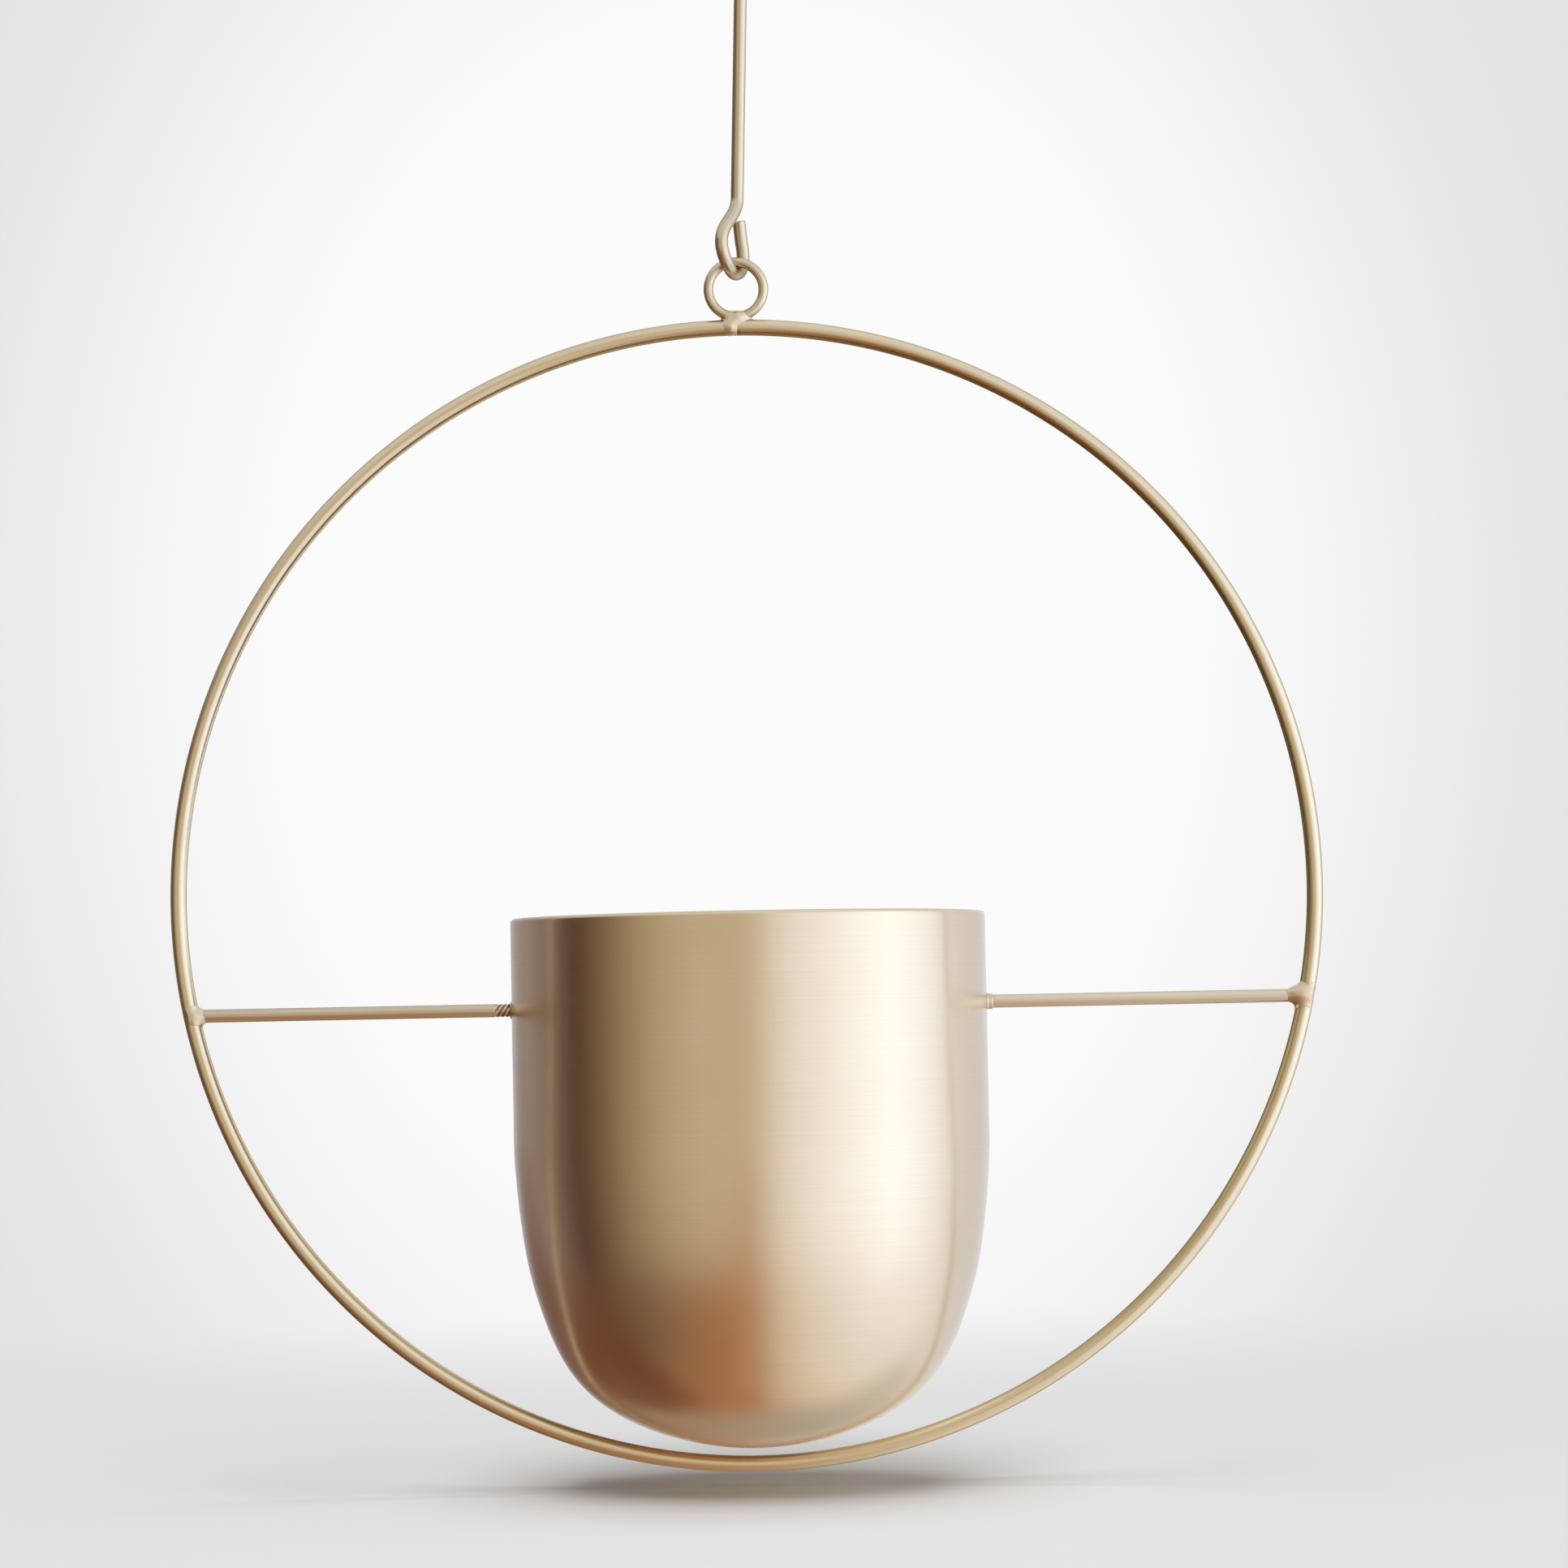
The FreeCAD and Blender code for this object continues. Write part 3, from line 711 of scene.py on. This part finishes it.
# ------------------------------------------------------------------ solder
# Each joint is one wetted skin over its wires, the zero surface of a distance field.
def surface_net(field, low, high, cell):
    """Quad mesh of field = 0 inside the box, one vertex in each cell the surface crosses."""
    low, high = np.array(low, float), np.array(high, float)
    count = np.ceil((high - low) / cell).astype(int) + 1
    axes = [low[i] + cell * np.arange(count[i]) for i in range(3)]
    values = field(*np.meshgrid(*axes, indexing="ij"))
    cells = tuple(count - 1)
    corner = np.stack(np.meshgrid(*[np.arange(c) for c in cells], indexing="ij"), -1)
    total, crossings = np.zeros(cells + (3,)), np.zeros(cells)
    for axis in range(3):
        across = [i for i in range(3) if i != axis]
        for u, v in ((0, 0), (0, 1), (1, 0), (1, 1)):
            start = np.zeros(3, int)
            start[across] = u, v
            end = start.copy()
            end[axis] += 1
            at_start, at_end = (
                values[tuple(slice(o, o + c) for o, c in zip(offset, cells))]
                for offset in (start, end))
            crossed = (at_start < 0) != (at_end < 0)
            point = corner + start.astype(float)
            point[..., axis] += np.where(
                crossed, at_start / np.where(crossed, at_start - at_end, 1.0), 0.0)
            total += np.where(crossed[..., None], point, 0.0)
            crossings += crossed
    used = crossings > 0
    index = -np.ones(cells, int)
    index[used] = np.arange(used.sum())
    verts = low + cell * (total[used] / crossings[used][:, None])
    faces = []
    for axis in range(3):
        a, b = [i for i in range(3) if i != axis]
        for point in np.argwhere(np.diff(values < 0, axis=axis)):
            if any(point[i] < 1 or point[i] > count[i] - 2 for i in (a, b)):
                continue
            quad = []
            for da, db in ((-1, -1), (0, -1), (0, 0), (-1, 0)):
                at = point.copy()
                at[a] += da
                at[b] += db
                quad.append(int(index[tuple(at)]))
            if min(quad) >= 0:
                faces.append(tuple(quad))
    return verts, faces


def blend(a, b, width):
    """Union of two fields with a soft fillet."""
    near = np.maximum(width - np.abs(a - b), 0.0) / width
    return np.minimum(a, b) - near * near * width * 0.25


def torus(x, y, z, centre_dz, ring_radius, wire_radius):
    return np.sqrt((np.sqrt(x**2 + (z - centre_dz) ** 2) - ring_radius) ** 2 + y**2) - wire_radius


def ellipsoid(x, y, z, centre, radii):
    def scaled(power):
        return np.sqrt(sum(((p - c) / r**power) ** 2
                           for p, c, r in zip((x, y, z), centre, radii)))

    near = scaled(1)
    return near * (near - 1.0) / np.maximum(scaled(2), 1e-9)


def wobble(x, y, z, seed):
    height, pitch = 0.03, 1.3
    return height * (np.sin(pitch * x + seed) * np.sin(pitch * 1.3 * y + 2 * seed)
                     + 0.6 * np.sin(pitch * 1.9 * z + 3 * seed + pitch * 0.7 * x))


def skin(solder_field, wires):
    """Keep the solder where it stands proud of the wires, and a little way into them."""
    sunk, proud = 0.30, 0.06
    shell = np.maximum(solder_field, -(wires + sunk))
    return np.maximum(shell, proud - (wires - solder_field))


def eye_field(x, y, z):
    """Joint of eye and hoop: a lump between them and a run down the left, camera side."""
    hoop = torus(x, y, z, 0.0, HOOP_RADIUS, HOOP_WIRE)
    eye = torus(x, y, z, EYE_DZ, EYE_RADIUS, EYE_WIRE)
    lump = ellipsoid(x, y, z, (-0.1, -0.3, HOOP_RADIUS + 2.9), (3.2, 2.3, 2.2))
    run = ellipsoid(x, y, z, (-1.9, -0.95, HOOP_RADIUS + 0.15), (1.75, 2.0, 2.2))
    joint = blend(blend(hoop, eye, 1.3), blend(lump, run, 1.6), 1.3)
    return skin(joint + wobble(x, y, z, seed=0.7), np.minimum(hoop, eye))


def arm_field(fillet, lump_centre, lump_radii, seed):
    """Joint of an arm and the hoop, with one lump."""
    def field(x, y, z):
        hoop = torus(x, y, z, 0.0, HOOP_RADIUS, HOOP_WIRE)
        arm = np.maximum(np.sqrt(y**2 + (z - ARM_DZ) ** 2) - ARM_WIRE,
                         np.sqrt(x**2 + z**2) - HOOP_RADIUS)
        lump = ellipsoid(x, y, z, lump_centre, lump_radii)
        joint = blend(blend(hoop, arm, fillet), lump, 1.8)
        return skin(joint + wobble(x, y, z, seed), np.minimum(hoop, arm))
    return field


def build_solder(name, node, field, low, high):
    verts, faces = surface_net(field, low, high, cell=0.12)
    placed = [(x * MM, y * MM, HOOP_Z + z * MM) for x, y, z in verts]
    mesh = add_piece(name, placed, faces, mat_solder, "frame", node).data
    bm = bmesh.new()
    bm.from_mesh(mesh)
    bmesh.ops.remove_doubles(bm, verts=bm.verts, dist=1e-6)
    for _ in range(3):
        bmesh.ops.smooth_vert(bm, verts=bm.verts, factor=0.5,
                              use_axis_x=True, use_axis_y=True, use_axis_z=True)
    bm.to_mesh(mesh)
    bm.free()
    shade_smooth(mesh)


build_solder("eye_solder", "eye_weld", eye_field,
             low=(-6.5, -4.2, HOOP_RADIUS - 4.0), high=(6.5, 4.2, HOOP_RADIUS + 7.5))
build_solder("right_arm_solder", "right_arm_weld",
             arm_field(fillet=3.2, lump_centre=(169.5, -0.8, ARM_DZ + 0.7),
                       lump_radii=(3.2, 2.2, 2.35), seed=1.9),
             low=(162.5, -4.6, ARM_DZ - 6.5), high=(176.5, 4.6, ARM_DZ + 6.5))
build_solder("left_arm_solder", "left_arm_weld",
             arm_field(fillet=2.4, lump_centre=(-170.0, 0.3, ARM_DZ - 0.4),
                       lump_radii=(2.2, 2.0, 2.0), seed=4.1),
             low=(-176.5, -4.6, ARM_DZ - 6.5), high=(-162.5, 4.6, ARM_DZ + 6.5))

# ------------------------------------------------------------------ camera
CAMERA_DISTANCE = 1.5
VIEW_WIDTH = 0.483  # seen across the picture at the hoop's plane
CAMERA_DROP = 0.0386  # below the hoop's centre
# degrees: turned right, tilted up, rolled clockwise
CAMERA_YAW, CAMERA_PITCH, CAMERA_ROLL = -0.457980, 2.741155, -1.1


def build_camera():
    data = bpy.data.cameras.new("camera")
    camera = bpy.data.objects.new("camera", data)
    bpy.context.scene.collection.objects.link(camera)
    bpy.context.scene.camera = camera
    data.sensor_width = 36.0
    data.lens = data.sensor_width * CAMERA_DISTANCE / VIEW_WIDTH
    data.clip_end = 60
    camera.location = (0.0, -CAMERA_DISTANCE, HOOP_Z - CAMERA_DROP)
    turn = (Matrix.Rotation(math.radians(CAMERA_YAW), 3, "Z")
            @ Matrix.Rotation(math.radians(90 + CAMERA_PITCH), 3, "X")
            @ Matrix.Rotation(math.radians(CAMERA_ROLL), 3, "Z"))
    camera.rotation_euler = turn.to_euler()


build_camera()
bpy.context.scene.view_settings.view_transform = "Standard"

# ------------------------------------------------------------------ what the metal sees
# level colours by compass angle in degrees: 0 is towards the camera, 90 right, 180 behind
LEVEL = [
    (-180, (0.66, 0.68, 0.76)), (-150, (0.40, 0.38, 0.40)), (-112, (0.22, 0.165, 0.14)),
    (-93, (0.075, 0.038, 0.028)), (-76, (0.19, 0.125, 0.075)), (-45, (0.475, 0.405, 0.27)),
    (-25, (0.59, 0.52, 0.42)), (0, (0.59, 0.505, 0.385)), (17, (0.88, 0.89, 0.93)),
    (45, (1.06, 1.15, 1.30)), (72, (1.22, 1.37, 1.62)), (95, (1.05, 1.15, 1.35)),
    (125, (0.74, 0.75, 0.80)), (150, (0.69, 0.71, 0.78)), (180, (0.88, 0.91, 0.98)),
]
# colours looking down, from far left (0) to far right (1)
LOW = [
    (0.10, (0.17, 0.10, 0.07)), (0.25, (0.32, 0.18, 0.10)), (0.40, (0.42, 0.195, 0.105)),
    (0.495, (0.455, 0.225, 0.130)), (0.53, (0.52, 0.37, 0.26)), (0.60, (0.68, 0.58, 0.48)),
    (0.725, (0.80, 0.77, 0.75)), (0.90, (0.90, 0.93, 1.00)),
]
# the same, looking down and away from the camera
LOW_BEHIND = [
    (0.30, (0.36, 0.24, 0.16)), (0.45, (0.40, 0.31, 0.23)), (0.56, (0.45, 0.42, 0.38)),
    (0.72, (0.62, 0.61, 0.59)),
]
OVERHEAD = (0.74, 0.75, 0.76)
# dark spots: direction, colour
SPOT_BEHIND_LEFT = (-0.49, 0.765, -0.42), (0.17, 0.080, 0.052)
SPOT_LOW_LEFT = (-0.66, 0.30, -0.69), (0.16, 0.058, 0.034)
STREAK_X, STREAK_COLOUR = -0.05, (0.50, 0.30, 0.19)  # low streak, on the camera's side


def surroundings(m, direction):
    """Reflected studio: dark on the left, warm in front, cool and bright on the right."""
    x, y, z = m.separate(direction)
    compass = m.math("ARCTAN2", x, m.times(y, -1.0))
    share = m.new("ShaderNodeMapRange", {
        "From Min": -math.pi, "From Max": math.pi, "Value": compass}).outputs[0]

    def left_to_right(stops):
        return m.ramp(m.plus(m.times(x, 0.5), 0.5), stops)

    level = m.ramp(share, [((degrees + 180.0) / 360.0, c) for degrees, c in LEVEL])
    low = left_to_right(LOW)
    colour = m.mix(m.smooth(z, zero=-0.15, one=-0.65), level, low)
    spot, spot_colour = SPOT_BEHIND_LEFT
    amount = m.times(m.smooth(m.dot(direction, spot), zero=0.87, one=0.975), 0.85)
    colour = m.mix(amount, colour, spot_colour)
    behind = m.times(m.smooth(y, zero=0.08, one=0.55), m.smooth(z, zero=-0.40, one=-0.70))
    colour = m.mix(behind, colour, left_to_right(LOW_BEHIND))
    spot, spot_colour = SPOT_LOW_LEFT
    amount = m.times(m.smooth(m.dot(direction, spot), zero=0.84, one=0.97), 0.80)
    colour = m.mix(amount, colour, spot_colour)
    off_streak = m.math("ABSOLUTE", m.plus(x, -STREAK_X))
    streak = m.times(m.smooth(off_streak, zero=0.09, one=0.03),
                     m.smooth(z, zero=-0.02, one=-0.30))
    streak = m.times(streak, m.smooth(y, zero=0.0, one=-0.2))
    colour = m.mix(m.times(streak, 0.6), colour, STREAK_COLOUR)
    return m.mix(m.times(m.smooth(z, zero=0.20, one=0.80), 0.85), colour, OVERHEAD)


# ------------------------------------------------------------------ backdrop and world
PAPER_CENTRE = (0.47, 0.60)  # centre of the painted pool of light, in shares of the picture's width and height
PAPER_SQUASH = 0.75  # upright distances count this much
PAPER_DARK, PAPER_RISE = 0.765, 0.20  # grey at the corners, and how much the painted pool of light adds at the centre
FILL_GREY = (0.215, 0.215, 0.215)


def paper(m):
    """Pale paper behind the object that glows with a painted pool of light, falling off softly to
    the picture's corners.
    """
    across, up, _ = m.separate(m.new("ShaderNodeTexCoord").outputs["Window"])
    x = m.minus(across, PAPER_CENTRE[0])
    y = m.times(m.minus(up, PAPER_CENTRE[1]), PAPER_SQUASH)
    glow = m.smooth(m.length(x, y), zero=0.60, one=0.24)
    grey = m.plus(m.times(glow, PAPER_RISE), PAPER_DARK)
    return m.combine(grey, grey, grey)


def skip_light_sampling(owner, setting):
    """Stop Cycles from sampling a world or a material as a light."""
    try:
        setattr(owner.cycles, setting, "NONE")
    except (AttributeError, TypeError):
        pass  # Cycles' settings, or this one of them, are not there in every build


def build_world():
    world = bpy.data.worlds.new("studio")
    bpy.context.scene.world = world
    world.use_nodes = True
    m = ShaderTree(world.node_tree)
    path = m.new("ShaderNodeLightPath")
    direction = m.new("ShaderNodeTexCoord").outputs["Generated"]
    # camera rays see the paper's painted pool of light
    fill = m.mix(path.outputs["Is Camera Ray"], FILL_GREY, paper(m))
    background = world.node_tree.nodes["Background"]
    m.link(m.mix(path.outputs["Is Glossy Ray"], fill, surroundings(m, direction)),
           background.inputs[0])
    background.inputs[1].default_value = 1.0
    skip_light_sampling(world, "sampling_method")


build_world()

# ------------------------------------------------------------------ floor
FLOOR_Z = HOOP_Z - 0.1825
FLOOR_RADII = (0.3, 0.8, 2.0, 5.0, 14.0, 40.0)
FLOOR_STEPS = 96
FLOOR_TONES = (0.80, 0.803, 0.807), (0.82, 0.823, 0.827)


def floor_material():
    """Matt and pale near the object; further out it glows with the painted paper for camera rays,
    and glossy rays see it glow with the painted surroundings in its place.
    """
    m = Material("studio_floor")
    cloud = m.noise(m.shifted(), scale=3.0, detail=2.0, roughness=0.5)
    m.link(m.mix(cloud, *FLOOR_TONES), m.bsdf.inputs["Base Color"])
    m.bsdf.inputs["Roughness"].default_value = 0.9
    m.bsdf.inputs["Specular IOR Level"].default_value = 0.1
    path = m.new("ShaderNodeLightPath")
    geometry = m.new("ShaderNodeNewGeometry")
    direction = m.new("ShaderNodeVectorMath", {
        "Scale": -1.0, 0: geometry.outputs["Incoming"]}, operation="SCALE").outputs[0]
    # the floor glows with painted reflections for glossy rays and, away from the object, with the
    # painted paper for camera rays
    surroundings_glow = m.new("ShaderNodeEmission", {"Color": surroundings(m, direction)})
    paper_glow = m.new("ShaderNodeEmission", {"Color": paper(m)})
    x, y, _ = m.separate(geometry.outputs["Position"])
    away = m.smooth(m.length(x, y), zero=0.16, one=0.95)
    visible = m.new("ShaderNodeMixShader", {
        0: m.times(away, path.outputs["Is Camera Ray"]),
        1: m.bsdf.outputs[0], 2: paper_glow.outputs[0]})
    surface = m.new("ShaderNodeMixShader", {
        0: path.outputs["Is Glossy Ray"], 1: visible.outputs[0], 2: surroundings_glow.outputs[0]})
    m.link(surface.outputs[0], m.out.inputs[0])
    skip_light_sampling(m.material, "emission_sampling")
    return m.material


def build_floor():
    """Flat disc of rings round one middle vertex."""
    material = floor_material()
    verts, faces = [(0.0, 0.0, FLOOR_Z)], []
    for i, radius in enumerate(FLOOR_RADII):
        for k in range(FLOOR_STEPS):
            angle = 2 * math.pi * k / FLOOR_STEPS
            verts.append((radius * math.cos(angle), radius * math.sin(angle), FLOOR_Z))
            a = 1 + i * FLOOR_STEPS + k
            b = 1 + i * FLOOR_STEPS + (k + 1) % FLOOR_STEPS
            faces.append((a - FLOOR_STEPS, a, b, b - FLOOR_STEPS) if i else (0, a, b))
    mesh = bpy.data.meshes.new("studio_floor")
    mesh.from_pydata(verts, [], faces)
    floor = bpy.data.objects.new("studio_floor", mesh)
    bpy.context.scene.collection.objects.link(floor)
    mesh.materials.append(material)


build_floor()


# ------------------------------------------------------------------ lights
def add_light(name, location, width, height, energy):
    """Soft box aimed a little below the hoop's centre, kept out of reflections."""
    data = bpy.data.lights.new(name, "AREA")
    data.shape = "RECTANGLE"
    data.size, data.size_y = width, height
    data.energy = energy
    light = bpy.data.objects.new(name, data)
    bpy.context.scene.collection.objects.link(light)
    light.location = location
    aim = Vector((0, 0, HOOP_Z - 0.05)) - Vector(location)
    light.rotation_euler = aim.to_track_quat("-Z", "Y").to_euler()
    light.visible_glossy = False


add_light("soft_key", location=(1.5, -1.8, HOOP_Z + 2.2), width=1.6, height=1.6, energy=6.0)
add_light("soft_top", location=(-0.05, -0.8, HOOP_Z + 3.75), width=1.7, height=4.6, energy=136.0)
